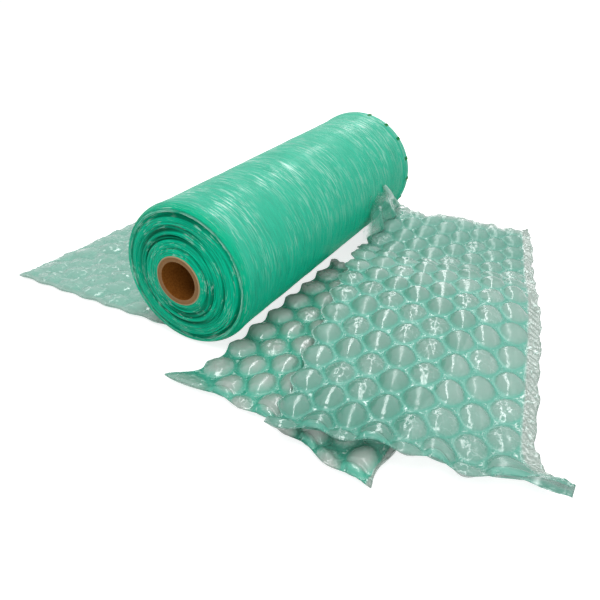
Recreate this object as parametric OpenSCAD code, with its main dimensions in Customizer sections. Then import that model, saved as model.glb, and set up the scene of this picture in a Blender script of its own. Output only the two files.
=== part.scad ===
// Air pillow film roll, lying on its side, with three lengths of its film around it.
// The roll's axis is the Y axis direction, +Z is up, and the floor is z = 0.
// The origin is the middle of the small flat spot on which the soft roll rests.

/* [Roll] */
// Diameter over the outer turn
roll_d = 189; // [150:1:240]
// Width of the film, which is the length of the roll
film_w = 500; // [420:5:560]
// Width of the flat spot where the soft roll rests
flat_w = 30; // [16:1:40]
// How far the inner turns have slid out of the near end
slip = 10; // [4:0.5:14]
// Thickness of the loose outer turns that stand apart from the rest as a collar
collar_t = 4.5; // [3:0.5:8]
// Width of the groove inside the collar
collar_gap = 5; // [3:0.5:7]
// Depth of the groove inside the collar
collar_groove = 9; // [4:0.5:12]
// Depth of the shallow grooves between bundles of turns
turn_groove = 2.6; // [1:0.2:4]
// Distance from one shallow groove to the next
turn_step = 9.6; // [7:0.2:14]

/* [Core] */
// Bore of the cardboard core
core_bore = 50.8; // [40:0.2:80]
// Wall of the cardboard core
core_wall = 7.6; // [4:0.2:10]
// How far the core stands out of the inner turns
core_proud = 1; // [0:0.5:3]

/* [Bubble quilt] */
// Distance from bubble to bubble along the web
pitch = 46; // [36:1:56]
// Distance from one column of bubbles to the next
column = 31; // [26:0.5:36]
// Height of a full bubble
bubble_h = 16; // [10:0.5:20]
// Thickness of the welded film between bubbles
seam_h = 2; // [1.5:0.1:3]
// Height of a slack bubble, on the free end
slack_h = 9; // [5:0.5:12]
// Columns of bubbles across an inflated sheet
sheet_columns = 8; // [6:1:9]
// Depth of the scallops along a sheet's left and near edges
scallop_depth = 5; // [0:0.5:7]

/* [Top sheet] */
// Half rows of bubbles along it
top_halves = 27; // [22:1:29]
// Near left corner, across from the roll's axis
top_x = 196; // [185:1:220]
// Near left corner, along the roll
top_y = -366; // [-380:1:-330]
// Turn away from the roll's axis, in degrees
top_turn = 13.9; // [10:0.1:16]
// How far its crowns sink between those of the lower sheet
nest = 2.2; // [0:0.1:3]
// Width of the welded strip along its right edge
top_hem = 15; // [8:1:25]
// How far its right edge bows out at mid-length
top_bow = 8; // [0:1:15]
// How far its near right corner is drawn out to the right
top_tail = 32; // [10:1:40]
// How far its far end is gathered to the right
top_gather = 34; // [28:1:40]
// Rise of its curled near edge
top_curl = 10; // [4:1:14]
// Height of the swell at its mid-length
top_swell = 16; // [10:1:20]
// Height to which its far left corner is lifted
top_lift = 24; // [16:1:30]

/* [Lower sheet] */
// Half rows of bubbles along it
low_halves = 16; // [12:1:18]
// Left edge, across from the roll's axis
low_x = 61; // [50:1:80]
// Near edge, along the roll
low_y = -332; // [-350:1:-310]
// Width of the welded strip along its right edge
low_hem = 5; // [3:1:25]
// How far its near left corner is drawn out to the left
low_tail = 30; // [10:1:36]
// How far its near right corner is drawn out along the roll's axis
low_pull = 40; // [30:1:48]

/* [Free end] */
// Half rows of bubbles along it
free_halves = 14; // [10:1:18]
// Distance of its near edge from the roll's near end
free_inset = 9; // [4:1:30]
// Least distance of its far edge from the roll's far end
free_margin = 10; // [4:1:20]
// Thickness of its edge under the roll
free_edge_t = 1.1; // [0.8:0.1:1.5]
// Width of the welded strip along its far edge
free_hem = 15; // [8:1:25]
// Share of its length that it keeps after wrinkling
free_keep = 0.965; // [0.9:0.005:1]
// Share of its length that it loses from the near to the far edge
free_taper = 0.09; // [0:0.01:0.15]

/* [Leader] */
// Place along the roll where the outer turn comes away, from the middle
leader_y = 147; // [120:1:180]
// Distance of the leader's far edge from the roll's far end
leader_inset = 22; // [15:1:30]
// Height angle at which the leader's near edge leaves the roll, in degrees
leader_high = 6; // [0:1:15]
// How much lower, in degrees, its far edge leaves the roll
leader_sweep = 38; // [30:1:42]
// Length of the top sheet's edge that it joins
leader_joint = 110; // [90:1:130]
// Thickness of the flattened film
leader_t = 1.6; // [1.2:0.1:2.5]

/* [Hidden] */
$fn = 96;
// Clearance that keeps soft film off its neighbour
gap = 0.3;
roll_r = roll_d / 2;
// The flat spot lowers the axis by the depth of a chord flat_w wide.
axis_z = sqrt(roll_r * roll_r - flat_w * flat_w / 4);
core_r = core_bore / 2 + core_wall;
// The turns slide little near the outside and more near the core.
slide_power = 1.3;
// Widths of a shallow groove inside and outside its deepest line, and its depth where it ends
groove_in = 1.2;
groove_out = 1.6;
groove_end = 0.4 * turn_groove;
// Least thickness of the bundle of turns outside the last shallow groove
bundle_t = 4;
// Slope of the collar groove's walls, as shares of its width and of its depth
collar_inner = 0.3;
collar_outer = 0.8;
collar_rise = 0.9;
// Bevel of the outer turns' edge
rim_bevel = 1.2;
// Below 1, a bubble has steep sides and a broad crown.
crown_power = 0.6;
film_green = [0.12, 0.62, 0.46];
sheet_green = [0.55, 0.78, 0.68];
card_brown = [0.42, 0.31, 0.18];

// A smooth step from 0 to 1 as t goes from 0 to 1
function ease(t) = let (c = max(0, min(1, t))) c * c * (3 - 2 * c);
// A bell that is 1 at the centre and fades over the reach
function bell(d, reach) = exp(-d * d / (reach * reach));

// How far the turn at radius r has slid towards the near end
function slid(r) = slip * pow(max(0, (roll_r - r) / (roll_r - core_r)), slide_power);

// Corner points of one shallow groove between two bundles of turns, walked outwards
function groove(r, side) = [
    for (w = [[-groove_in, 0], [0, turn_groove], [groove_out, groove_end]])
        [r + w[0], slid(r) + side * w[1]]
];

// The turns' end face as points of radius and slide: grooves, then the gap inside the collar
function end_face(side) = let (
    last = roll_r - collar_t - collar_gap,
    count = floor((last - core_r - bundle_t) / turn_step)
) [
    [core_r, slid(core_r)],
    for (i = [1 : count]) each groove(core_r + i * turn_step, side),
    [last, slid(last)],
    [last + collar_inner * collar_gap, slid(last) + side * collar_rise * collar_groove],
    [last + collar_outer * collar_gap, side * collar_groove],
    [roll_r - collar_t, 0],
    [roll_r - rim_bevel, 0],
    [roll_r, side * rim_bevel]
];

// The wound turns as one solid, around a vertical axis, near end down
module wound_turns() {
    near = [for (p = end_face(-1)) [p[0], -film_w / 2 - p[1]]];
    far = [for (p = end_face(1)) [p[0], film_w / 2 - p[1]]];
    rotate_extrude()
        polygon(concat(near, [for (i = [len(far) - 1 : -1 : 0]) far[i]]));
}

module core() {
    color(card_brown)
        translate([0, -film_w / 2 - slip - core_proud, axis_z])
            rotate([-90, 0, 0])
                difference() {
                    cylinder(r = core_r, h = film_w);
                    translate([0, 0, -1]) cylinder(d = core_bore, h = film_w + 2);
                }
}

module film_roll() {
    color(film_green)
        intersection() {
            translate([0, 0, axis_z]) rotate([-90, 0, 0]) wound_turns();
            translate([-roll_d, -film_w, 0]) cube([2 * roll_d, 2 * film_w, 2 * roll_d]);
        }
}

// Bubble height from 0 on the diagonal welds to 1 on a bubble's crown
function dome(u, v) =
    let (a = u / pitch, b = (v - column / 2) / (2 * column))
    pow(abs(cos(180 * (a + b)) * cos(180 * (a - b))), crown_power);

// Triangles of one layer of a grid; each cell is split along the weld that crosses it
function layer(ni, nj, first, flip) = [
    for (i = [0 : ni - 1]) for (j = [0 : nj - 1])
        let (
            a = first + i * (nj + 1) + j,
            b = a + nj + 1,
            c = b + 1,
            d = a + 1,
            odd = (i + j) % 2 == 1,
            t = odd ? [[a, b, c], [a, c, d]] : [[a, b, d], [b, c, d]]
        )
        each [for (f = t) flip ? [f[2], f[1], f[0]] : f]
];

// Triangles of the wall between the edges of two layers
function wall(ni, nj) =
    let (
        ring = concat(
            [for (j = [0 : nj - 1]) j],
            [for (i = [0 : ni - 1]) i * (nj + 1) + nj],
            [for (j = [nj : -1 : 1]) ni * (nj + 1) + j],
            [for (i = [ni : -1 : 1]) i * (nj + 1)]
        ),
        n = (ni + 1) * (nj + 1)
    )
    [for (k = [0 : len(ring) - 1])
        let (p = ring[k], q = ring[(k + 1) % len(ring)])
        each [[p, q, q + n], [p, q + n, p + n]]];

// A closed skin over an upper and a lower grid of points
module skin(upper, lower, ni, nj) {
    n = (ni + 1) * (nj + 1);
    polyhedron(
        points = concat(upper, lower),
        faces = concat(layer(ni, nj, 0, false), layer(ni, nj, n, true), wall(ni, nj)),
        convexity = 10
    );
}

// A quilted sheet: four points along each bubble, two across it, and a hem on the right.
// place(u, v) gives the middle of the film in space, full is a crowned bubble's height,
// and most(u, v) is the room that there is for its thickness.
module quilt(halves, columns, hem, full, place, most = function(u, v) bubble_h) {
    ni = 2 * halves;
    nj = 2 * columns + 1;
    function across(j) = j < nj ? j * column / 2 : columns * column + hem;
    function thick(i, j) =
        i == 0 || i == ni || j == 0 || j >= nj - 1
        ? seam_h
        : seam_h + (full - seam_h) * dome(i * pitch / 4, across(j));
    function skin_point(i, j, side) =
        let (u = i * pitch / 4, v = across(j))
        place(u, v) + [0, 0, side * min(thick(i, j), most(u, v)) / 2];
    skin(
        [for (i = [0 : ni]) for (j = [0 : nj]) skin_point(i, j, 1)],
        [for (i = [0 : ni]) for (j = [0 : nj]) skin_point(i, j, -1)],
        ni, nj
    );
}

// Scallops along the left and the near edge, which bulge beside each bubble
function scallop(u, v) = -scallop_depth * cos(360 * u / pitch) * max(0, 1 - v / column);
function end_scallop(u, v) =
    -scallop_depth * cos(180 * v / column - 90) * max(0, 1 - u / pitch);
// A corner at c drawn out by the vector by
function drawn(p, c, by, reach) = by * bell(norm(p - c), reach);

low_len = low_halves * pitch / 2;
low_wide = sheet_columns * column + low_hem;
// How much of the sheet its two drawn corners pull along
low_tail_reach = 22;
low_pull_reach = 110;

function low_place(u, v) = let (
    p = [v + scallop(u, v), u + end_scallop(u, v)],
    tail = drawn([v, u], [0, 0], [-low_tail, 0], low_tail_reach),
    pull = drawn([v, u], [low_wide, 0], [0, -low_pull], low_pull_reach),
    q = p + tail + pull
) [low_x + q[0], low_y + q[1], bubble_h / 2];

module lower_sheet() {
    color(sheet_green)
        quilt(low_halves, sheet_columns, low_hem, bubble_h, function(u, v) low_place(u, v));
}

top_len = top_halves * pitch / 2;
top_wide = sheet_columns * column + top_hem;
// The top sheet slopes down over slope_run, from slope_start past the lower sheet's edge.
slope_run = 70;
slope_start = 5;
// Reaches of the drawn corner, the gathered end, the swell and the lifted corner
top_tail_reach = 30;
gather_run = 170;
swell_reach = 130;
lift_reach = 110;
// Below 1, the lift reaches further across the sheet than along it.
lift_across = 0.8;
// Place of the swell, as a share of the sheet's length
swell_at = 0.48;

// How much of the lower sheet's height lies under a point of the top sheet
function over_low(x, y) = let (slope_end = slope_start + slope_run)
    ease((low_x + low_wide + slope_end - x) / slope_run)
    * ease((low_y + low_len + slope_end - y) / slope_run);

// Middle height of the top sheet: on the lower sheet or the floor, with a curled near edge,
// a swell at mid-length and a corner lifted towards the roll
function top_z(u, v, x, y) =
    bubble_h / 2
    + (bubble_h - nest) * over_low(x, y)
    + top_curl * pow(max(0, 1 - u / pitch), 2)
    + top_swell * bell(u - swell_at * top_len, swell_reach)
    + top_lift * bell(norm([u - top_len, lift_across * v]), lift_reach);

function top_place(u, v) = let (
    gather = top_gather * ease((u - top_len + gather_run) / gather_run) * (1 - v / top_wide),
    bow = top_bow * sin(180 * u / top_len) * v / top_wide,
    p = [v + gather + bow + scallop(u, v), u + end_scallop(u, v)],
    q = p + drawn([v, u], [top_wide, 0], [top_tail, top_tail / 8], top_tail_reach),
    x = top_x + q[0] * cos(top_turn) - q[1] * sin(top_turn),
    y = top_y + q[0] * sin(top_turn) + q[1] * cos(top_turn)
) [x, y, top_z(u, v, x, y)];

// The flattened outer turn where it comes away from the roll and runs down to the top sheet.
// It is worked out around the roll's axis, from the line where it leaves the roll to a foot
// inside the sheet's edge, which it laps.
leader_n = 8;
leader_run = film_w / 2 - leader_inset - leader_y;
leader_lap = 6;
leader_end = 8;
function leader_point(i, j, out) = let (
    a = i / leader_n,
    b = j / leader_n,
    foot = top_place(top_len - leader_end - leader_joint * (1 - a), leader_lap),
    foot_r = norm([foot[0], foot[2] - axis_z]),
    foot_angle = atan2(foot[2] - axis_z, foot[0]),
    high = leader_high - leader_sweep * a,
    high_y = leader_y + a * leader_run,
    angle = high + (foot_angle - high) * b,
    r = roll_r + gap + (foot_r - roll_r - gap) * ease(b) + out
) [r * cos(angle), high_y + (foot[1] - high_y) * b, axis_z + r * sin(angle)];

module leader() {
    n = leader_n;
    skin(
        [for (i = [0 : n]) for (j = [0 : n]) leader_point(i, j, leader_t)],
        [for (i = [0 : n]) for (j = [0 : n]) leader_point(i, j, 0)],
        n, n
    );
}

module top_sheet() {
    color(sheet_green) {
        quilt(top_halves, sheet_columns, top_hem, bubble_h, function(u, v) top_place(u, v));
        leader();
    }
}

// The free end starts beside the flat spot, where the roll's curve leaves room for its edge,
// and thickens only as that room grows.
free_columns = floor((film_w - free_inset - free_hem - free_margin) / column);
free_start = sqrt(roll_r * roll_r - pow(axis_z - free_edge_t - gap, 2));
function room(x) = axis_z - sqrt(max(0, roll_r * roll_r - x * x)) - gap;
function free_x(u, v) = -free_start - u * free_keep * (1 - free_taper * v / film_w);
function free_place(u, v) = [
    free_x(u, v),
    -film_w / 2 + free_inset + v + scallop(u, v),
    min(slack_h, room(free_x(u, v))) / 2
];

module free_end() {
    color(sheet_green)
        quilt(
            free_halves, free_columns, free_hem, slack_h,
            function(u, v) free_place(u, v),
            function(u, v) room(free_x(u, v))
        );
}

core();
film_roll();
free_end();
lower_sheet();
top_sheet();
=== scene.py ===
# %% [markdown]
# # A roll of air pillow film
#
# The object is a soft roll of green bubble-quilt film on a card core. Three lengths of its film
# lie round it: a slack free end on the left, and two inflated lengths on the right. The measured
# model gives every piece its place, and this script gives the pieces their surfaces: the wound
# turns with their ragged ends, the thin skins of the bubbles, and the finish of film and card.
# All sizes are in metres, in the frame of the measured model: Y runs along the roll, away from
# the end that shows, Z is up, and the origin is under the middle of the roll.

# %% Load the measured model
import math
from types import SimpleNamespace

import bpy
import numpy as np
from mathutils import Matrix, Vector


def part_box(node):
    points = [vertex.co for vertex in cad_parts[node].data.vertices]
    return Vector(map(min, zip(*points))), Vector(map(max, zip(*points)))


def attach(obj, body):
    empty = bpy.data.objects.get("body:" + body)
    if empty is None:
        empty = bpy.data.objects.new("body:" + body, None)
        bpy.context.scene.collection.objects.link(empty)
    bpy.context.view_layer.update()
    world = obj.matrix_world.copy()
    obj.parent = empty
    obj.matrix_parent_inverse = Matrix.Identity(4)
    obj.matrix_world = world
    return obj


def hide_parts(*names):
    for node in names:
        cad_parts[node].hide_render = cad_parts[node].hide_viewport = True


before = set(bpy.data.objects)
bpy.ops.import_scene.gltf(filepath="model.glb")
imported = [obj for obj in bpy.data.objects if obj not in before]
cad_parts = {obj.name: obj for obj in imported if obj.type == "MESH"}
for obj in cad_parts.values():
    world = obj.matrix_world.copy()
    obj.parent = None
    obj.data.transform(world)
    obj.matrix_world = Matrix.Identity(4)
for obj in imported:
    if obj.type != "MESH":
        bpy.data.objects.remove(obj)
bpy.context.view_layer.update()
print("nodes:", sorted(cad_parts))

# %% [markdown]
# ## Sizes
#
# The roll's sizes are read back from the measured model, so that the surfaces here follow it:
# the box of the turns gives the roll's diameter, the core's box gives the core's, and the axis
# lies at the middle height of the core. The quilt's pattern has no box of its own, so its pitch
# and its columns are repeated here. The collar of loose outer turns is wider than the measured
# one, as in the photograph, and lies inside its outline.

# %% Sizes of the roll and of the quilt
MM = 0.001
turns_low, turns_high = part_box("film_roll")
core_low, core_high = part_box("core")
ROLL_R = (turns_high.x - turns_low.x) / 2
CORE_R = (core_high.x - core_low.x) / 2
BORE_R = 25.4 * MM
AXIS_Z = (core_low.z + core_high.z) / 2
FAR_Y = turns_high.y
NEAR_Y = -FAR_Y
SLIP = NEAR_Y - turns_low.y
COLLAR_T, COLLAR_GAP, COLLAR_GROOVE = 9.5 * MM, 4.5 * MM, 9 * MM

PITCH, COLUMN, COLUMNS = 46 * MM, 31 * MM, 8
BUBBLE_H, SLACK_H = 16 * MM, 9 * MM
SEAM_T = 0.7 * MM
GAP = 0.3 * MM
print(f"roll {2 * ROLL_R:.3f} across, axis at {AXIS_Z:.4f}, slip {SLIP:.3f}")

# %% [markdown]
# ## Grids
#
# Every surface here is a function of two parameters, worked out as whole arrays. A grid of
# points becomes a mesh with one face for each cell, and a sheet of film becomes a closed skin:
# an upper and a lower grid, joined by a wall along their edge. A flat sheet with a Solidify
# modifier would be simpler, but its two films couldn't part into bubbles.


# %% Grid helpers
def cells(rows, cols, first=0, wrap=False):
    """Faces of a grid of rows by cols points, numbered along its rows. With wrap, the last
    column joins the first one."""
    i, j = np.meshgrid(np.arange(rows - 1), np.arange(cols if wrap else cols - 1), indexing="ij")
    k = (j + 1) % cols
    quad = [i * cols + j, (i + 1) * cols + j, (i + 1) * cols + k, i * cols + k]
    return first + np.stack(quad, axis=-1).reshape(-1, 4)


def edge_ring(rows, cols):
    """Point numbers once round the edge of a grid."""
    n = np.arange(rows * cols).reshape(rows, cols)
    return np.concatenate([n[0, :-1], n[:-1, -1], n[-1, :0:-1], n[:0:-1, 0]])


def point_values(mesh, title, values, kind="FLOAT", field="value"):
    """Gives each point of a mesh a value or a vector, under a name that a material can read."""
    layer = mesh.attributes.new(title, kind, "POINT")
    layer.data.foreach_set(field, np.asarray(values, np.float32).ravel())


def mesh_piece(name, points, faces, uv=None, marks=()):
    """A smooth-shaded mesh object with a UV map in metres and named point attributes."""
    mesh = bpy.data.meshes.new(name)
    mesh.from_pydata(np.asarray(points, float), [], np.asarray(faces).tolist())
    mesh.polygons.foreach_set("use_smooth", np.ones(len(mesh.polygons), bool))
    if uv is not None:
        loops = np.empty(len(mesh.loops), np.int32)
        mesh.loops.foreach_get("vertex_index", loops)
        mesh.uv_layers.new(name="film").data.foreach_set("uv", uv[loops].astype(np.float32).ravel())
    for title, values in dict(marks).items():
        point_values(mesh, title, values)
    mesh.validate()
    piece = bpy.data.objects.new(name, mesh)
    bpy.context.collection.objects.link(piece)
    return piece


UPPER_LEAST = 0.5 * MM


def closed_skin(name, upper, lower, uv, marks):
    """A closed film skin over an upper and a lower grid of points, of the same shape. Neither
    goes below the floor."""
    rows, cols = upper.shape[:2]
    n = rows * cols
    upper[..., 2] = np.maximum(upper[..., 2], UPPER_LEAST)
    lower[..., 2] = np.maximum(lower[..., 2], 0.0)
    ring = edge_ring(rows, cols)
    after = np.roll(ring, -1)
    wall = np.stack([ring, ring + n, after + n, after], axis=1)
    top, bottom = cells(rows, cols), cells(rows, cols, n)[:, ::-1]
    points = np.concatenate([upper.reshape(-1, 3), lower.reshape(-1, 3)])
    both = {title: np.concatenate([np.ravel(m), np.ravel(m)]) for title, m in marks.items()}
    uvs = np.concatenate([uv.reshape(-1, 2)] * 2)
    piece = mesh_piece(name, points, np.concatenate([top, bottom, wall]), uvs, both)
    print(f"{name}: {2 * len(piece.data.polygons)} triangles")
    return piece


print("a grid of 3 by 4 points has", len(cells(3, 4)), "faces and", len(edge_ring(3, 4)), "edge points")

# %% [markdown]
# ## Smooth steps, bells and noise
#
# Film never lies evenly. Its waves are drawn from a lattice of random numbers, joined smoothly,
# with a fixed seed so that each run gives the same film.


# %% Steps, bells and noise
def ease(t):
    """A smooth step: 3t² - 2t³, with t held between 0 and 1."""
    c = np.clip(t, 0, 1)
    return c * c * (3 - 2 * c)


def bell(d, reach):
    """exp(-(d / reach)²): 1 at the centre, fading over the reach."""
    return np.exp(-((d / reach) ** 2))


def noise(x, y, seed, wrap=None):
    """Smooth random waves from -1 to 1, one for each unit of x and y: random values at whole
    numbers, joined by smooth steps. With wrap, the pattern repeats after that many units of x."""
    table = np.random.default_rng(seed).uniform(-1, 1, (257, 263))
    i, j = np.floor(x).astype(int), np.floor(y).astype(int)
    a, b = ease(x - i), ease(y - j)
    count = wrap or 257
    i0, i1, j0, j1 = i % count, (i + 1) % count, j % 263, (j + 1) % 263
    low = table[i0, j0] * (1 - a) + table[i1, j0] * a
    high = table[i0, j1] * (1 - a) + table[i1, j1] * a
    return low * (1 - b) + high * b


waves = noise(np.linspace(0, 40, 400), np.zeros(400), 1)
print(f"noise runs from {waves.min():.2f} to {waves.max():.2f}")

# %% [markdown]
# ## The bubble pattern
#
# Two films are welded together round staggered bubbles. Each bubble is an oval in a six-sided
# cell: it swells into a dome, flat welds are left between the domes, and small flat triangles
# where three bubbles meet. So the height of the film is a function of the distance from the
# bubble's centre, measured so that the rim of every bubble is at 1. An exact simulation of two
# inflated films would give the same domes for far more work.


# %% Bubble pattern
HALF_LONG, HALF_WIDE = 24 * MM, 18 * MM
KINDS = 1009


def pattern(u, v, columns):
    """Closeness to the rim (0 on a crown, 1 on the rim, more on the weld), the offset from the
    bubble's centre, the bubble's number, and closeness to the corners where three bubbles meet.
    u runs along the web and v across it. A neighbour at the vector c has the share
    s = 2 (offset . c) / |c|^2, which is 1 halfway to it. The cell is (sum of s^5)^(1/5), the
    oval is |(du / a, dv / b)|, and closeness is (cell^6 + oval^6)^(1/6)."""
    column = np.clip(np.floor(v / COLUMN), 0, columns - 1).astype(int)
    centres = []
    for dj in (-1, 0, 1):
        j = column + dj
        start = np.where(j % 2 == 0, 0.0, PITCH / 2)
        k = np.round((u - start) / PITCH)
        for dk in (-1, 0, 1):
            centres.append((start + (k + dk) * PITCH, (j + 0.5) * COLUMN, j))
    cu, cv, cj = (np.stack([np.broadcast_to(c[n], u.shape) for c in centres]) for n in range(3))
    off = (cj < 0) | (cj >= columns)
    square = (cu - u) ** 2 + (cv - v) ** 2 + np.where(off, 1.0, 0.0)
    nearest = square.argmin(axis=0)
    u1, v1, j1 = (np.take_along_axis(a, nearest[None], 0)[0] for a in (cu, cv, cj))
    du, dv = cu - u1, cv - v1
    apart = np.maximum(du**2 + dv**2, 1e-9)
    share = np.where(apart < 1e-6, 0, 2 * ((u - u1) * du + (v - v1) * dv) / apart)
    cell = (np.maximum(share, 0) ** 5).sum(axis=0) ** 0.2
    oval = np.hypot((u - u1) / HALF_LONG, (v - v1) / HALF_WIDE)
    close = (cell**6 + oval**6) ** (1 / 6)
    three = ease((close - 1.06) / 0.22)
    number = (np.round(2 * u1 / PITCH) * 31 + j1 * 17).astype(int) % KINDS
    return close, (u - u1, v - v1), number, three


def fullness(close):
    """Height of the film from 0 at the rim to 1 on the crown: (1 - close^2.4)^0.8."""
    return (1 - np.clip(close, 0, 1) ** 2.4) ** 0.8


def puckers(close, offset, number, loose):
    """Small folds that run in from the rim, because the film shortens as it fills: a cosine
    round the bubble's centre with a random turn for each bubble. Loose bubbles also have a few
    long folds across the crown."""
    r = np.random.default_rng(5).uniform(0, 1, (KINDS, 3))[number]
    angle = np.arctan2(offset[1], offset[0])
    folds = np.cos((8 + np.round(3 * r[..., 0])) * angle + 6.3 * r[..., 1]) * bell(close - 0.8, 0.2)
    star = np.cos(3 * angle + 6.3 * r[..., 2]) + 0.6 * np.cos(5 * angle + 9 * r[..., 0])
    return MM * (0.3 * folds + 0.9 * loose * star * bell(close - 0.35, 0.22))


print(f"bubbles {2 * HALF_LONG:.3f} by {2 * HALF_WIDE:.3f}, in {COLUMNS} columns of {COLUMN:.3f}")

# %% [markdown]
# ## Where the lengths of film lie
#
# These functions give the middle of the film in space. They are the ones of the measured model:
# scalloped edges, corners that are drawn out, and a top sheet that climbs over the lower one.


# %% Places of the three lengths
SCALLOP, LOW_SCALLOPS, FREE_SCALLOPS = 5 * MM, 0.6, 0.3


def scallops(u, v):
    """The left edge bulges beside each bubble, and so does the near edge."""
    side = -SCALLOP * np.cos(2 * np.pi * u / PITCH) * np.maximum(0, 1 - v / COLUMN)
    end = -SCALLOP * np.cos(np.pi * v / COLUMN - np.pi / 2) * np.maximum(0, 1 - u / PITCH)
    return side, end


def drawn(u, v, corner, by, reach):
    """A corner that is drawn out by a vector, fading over the reach."""
    pull = bell(np.hypot(v - corner[0], u - corner[1]), reach)
    return by[0] * pull, by[1] * pull


LOW_X, LOW_Y = 61 * MM, -332 * MM
LOW_LEN, LOW_HEM = 8 * PITCH, 5 * MM
LOW_WIDE = COLUMNS * COLUMN + LOW_HEM


def low_place(u, v):
    """Middle of the lower sheet."""
    side, end = (LOW_SCALLOPS * s for s in scallops(u, v))
    tail = drawn(u, v, (0, 0), (-30 * MM, 0), 22 * MM)
    pull = drawn(u, v, (LOW_WIDE, 0), (0, -40 * MM), 110 * MM)
    x = LOW_X + v + side + tail[0] + pull[0]
    y = LOW_Y + u + end + tail[1] + pull[1]
    return x, y, np.full_like(u, BUBBLE_H / 2)


TOP_X, TOP_Y, TOP_TURN = 196 * MM, -366 * MM, math.radians(13.9)
TOP_LEN, TOP_HEM = 13.5 * PITCH, 15 * MM
TOP_WIDE = COLUMNS * COLUMN + TOP_HEM
NEST, SLOPE_RUN, SLOPE_START = 2.2 * MM, 70 * MM, 5 * MM


def over_low(x, y):
    """How much of the lower sheet's height lies under a point of the top sheet."""
    end = SLOPE_START + SLOPE_RUN
    across = ease((LOW_X + LOW_WIDE + end - x) / SLOPE_RUN)
    return across * ease((LOW_Y + LOW_LEN + end - y) / SLOPE_RUN)


def top_place(u, v):
    """Middle of the top sheet: turned away from the roll, gathered at its far end, with a
    curled near edge, a swell at mid-length and a corner that is lifted towards the roll."""
    side, end = scallops(u, v)
    gather = 34 * MM * ease((u - TOP_LEN + 170 * MM) / (170 * MM)) * (1 - v / TOP_WIDE)
    bow = 8 * MM * np.sin(np.pi * u / TOP_LEN) * v / TOP_WIDE
    tail = drawn(u, v, (TOP_WIDE, 0), (32 * MM, 4 * MM), 30 * MM)
    p, q = v + gather + bow + side + tail[0], u + end + tail[1]
    x = TOP_X + p * math.cos(TOP_TURN) - q * math.sin(TOP_TURN)
    y = TOP_Y + p * math.sin(TOP_TURN) + q * math.cos(TOP_TURN)
    z = (BUBBLE_H / 2 + (BUBBLE_H - NEST) * over_low(x, y)
         + 10 * MM * np.maximum(0, 1 - u / PITCH) ** 2
         + 16 * MM * bell(u - 0.48 * TOP_LEN, 130 * MM)
         + 24 * MM * bell(np.hypot(u - TOP_LEN, 0.8 * v), 110 * MM))
    return x, y, z


FREE_LEN, FREE_INSET, FREE_HEM = 7 * PITCH, 9 * MM, 15 * MM
FREE_COLUMNS = 15
FREE_START = math.sqrt(ROLL_R**2 - (AXIS_Z - 1.4 * MM) ** 2)


def room(x):
    """Height under the roll's curve at a distance x from its axis."""
    return AXIS_Z - np.sqrt(np.maximum(0, ROLL_R**2 - x**2)) - GAP


def free_place(u, v):
    """Middle of the slack free end, which runs out to the left from under the roll."""
    side = FREE_SCALLOPS * scallops(u, v)[0]
    x = -FREE_START - u * 0.965 * (1 - 0.09 * v / (2 * FAR_Y))
    y = NEAR_Y + FREE_INSET + v + side
    return x, y, np.minimum(SLACK_H, room(x)) / 2 - 1 * MM * ease((-x - 0.1) / 0.03)


print(f"top sheet {TOP_WIDE:.3f} by {TOP_LEN:.3f}, lower sheet {LOW_WIDE:.3f} by {LOW_LEN:.3f}")

# %% [markdown]
# ## Shared film effects
#
# Thin film crinkles wherever it is held: fine sharp folds cross the welds and sparkle there.
# That sparkle is a painted highlight, pale colour along the creases.
# Folds in the mesh would need far more faces. So one node group makes the creases for every
# film, as the bent edges of cells that follow the film's UV.


# %% Node helpers
def socket(group, name, way, kind, value=None):
    """A named input or output of a node group."""
    s = group.interface.new_socket(name=name, in_out=way, socket_type=kind)
    if value is not None:
        s.default_value = value
    return s


def add(nodes, kind, **settings):
    """A shader node with its settings."""
    node = nodes.new(kind)
    for name, value in settings.items():
        setattr(node, name, value)
    return node


def value_of(links, target, source):
    """Links an output to an input, or sets the input to a plain value."""
    if hasattr(source, "is_linked"):
        links.new(source, target)
    else:
        target.default_value = source


def ramp(n, l, source, low, high, to_low=0.0, to_high=1.0):
    """A Map Range node from one range of values to another."""
    node = add(n, "ShaderNodeMapRange")
    l.new(source, node.inputs[0])
    for k, v in zip((1, 2, 3, 4), (low, high, to_low, to_high)):
        node.inputs[k].default_value = v
    return node.outputs[0]


def maths(n, l, operation, a, b, clamp=False):
    """A Math node of two values."""
    node = add(n, "ShaderNodeMath", operation=operation, use_clamp=clamp)
    value_of(l, node.inputs[0], a)
    value_of(l, node.inputs[1], b)
    return node.outputs[0]


def times(n, l, a, b):
    """The product of two values."""
    return maths(n, l, "MULTIPLY", a, b)


def noise_of(n, l, vector, scale, detail=2.0, distortion=0.0):
    """A Noise Texture on a vector."""
    node = add(n, "ShaderNodeTexNoise")
    l.new(vector, node.inputs["Vector"])
    node.inputs["Scale"].default_value = scale
    node.inputs["Detail"].default_value = detail
    node.inputs["Distortion"].default_value = distortion
    return node.outputs[0]


def blend(n, l, mask, a, b):
    """A mix of two colours: a where the mask is 0, and b where it is 1."""
    mix = add(n, "ShaderNodeMix", data_type="RGBA")
    l.new(mask, mix.inputs[0])
    value_of(l, mix.inputs[6], a)
    value_of(l, mix.inputs[7], b)
    return mix.outputs[2]


def bump_of(n, l, height, strength, distance):
    """The normals of a bumped surface."""
    bump = add(n, "ShaderNodeBump")
    l.new(height, bump.inputs["Height"])
    bump.inputs["Strength"].default_value = strength
    bump.inputs["Distance"].default_value = distance
    return bump.outputs[0]


def mark_of(n, name, which="Fac"):
    """A mask or vector that the mesh carries."""
    return add(n, "ShaderNodeAttribute", attribute_name=name).outputs[which]


def new_material(name):
    """A node material, with its nodes, its links and its Principled BSDF."""
    m = bpy.data.materials.new(name)
    m.use_nodes = True
    print("material:", name)
    return m, m.node_tree.nodes, m.node_tree.links, m.node_tree.nodes["Principled BSDF"]


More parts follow.
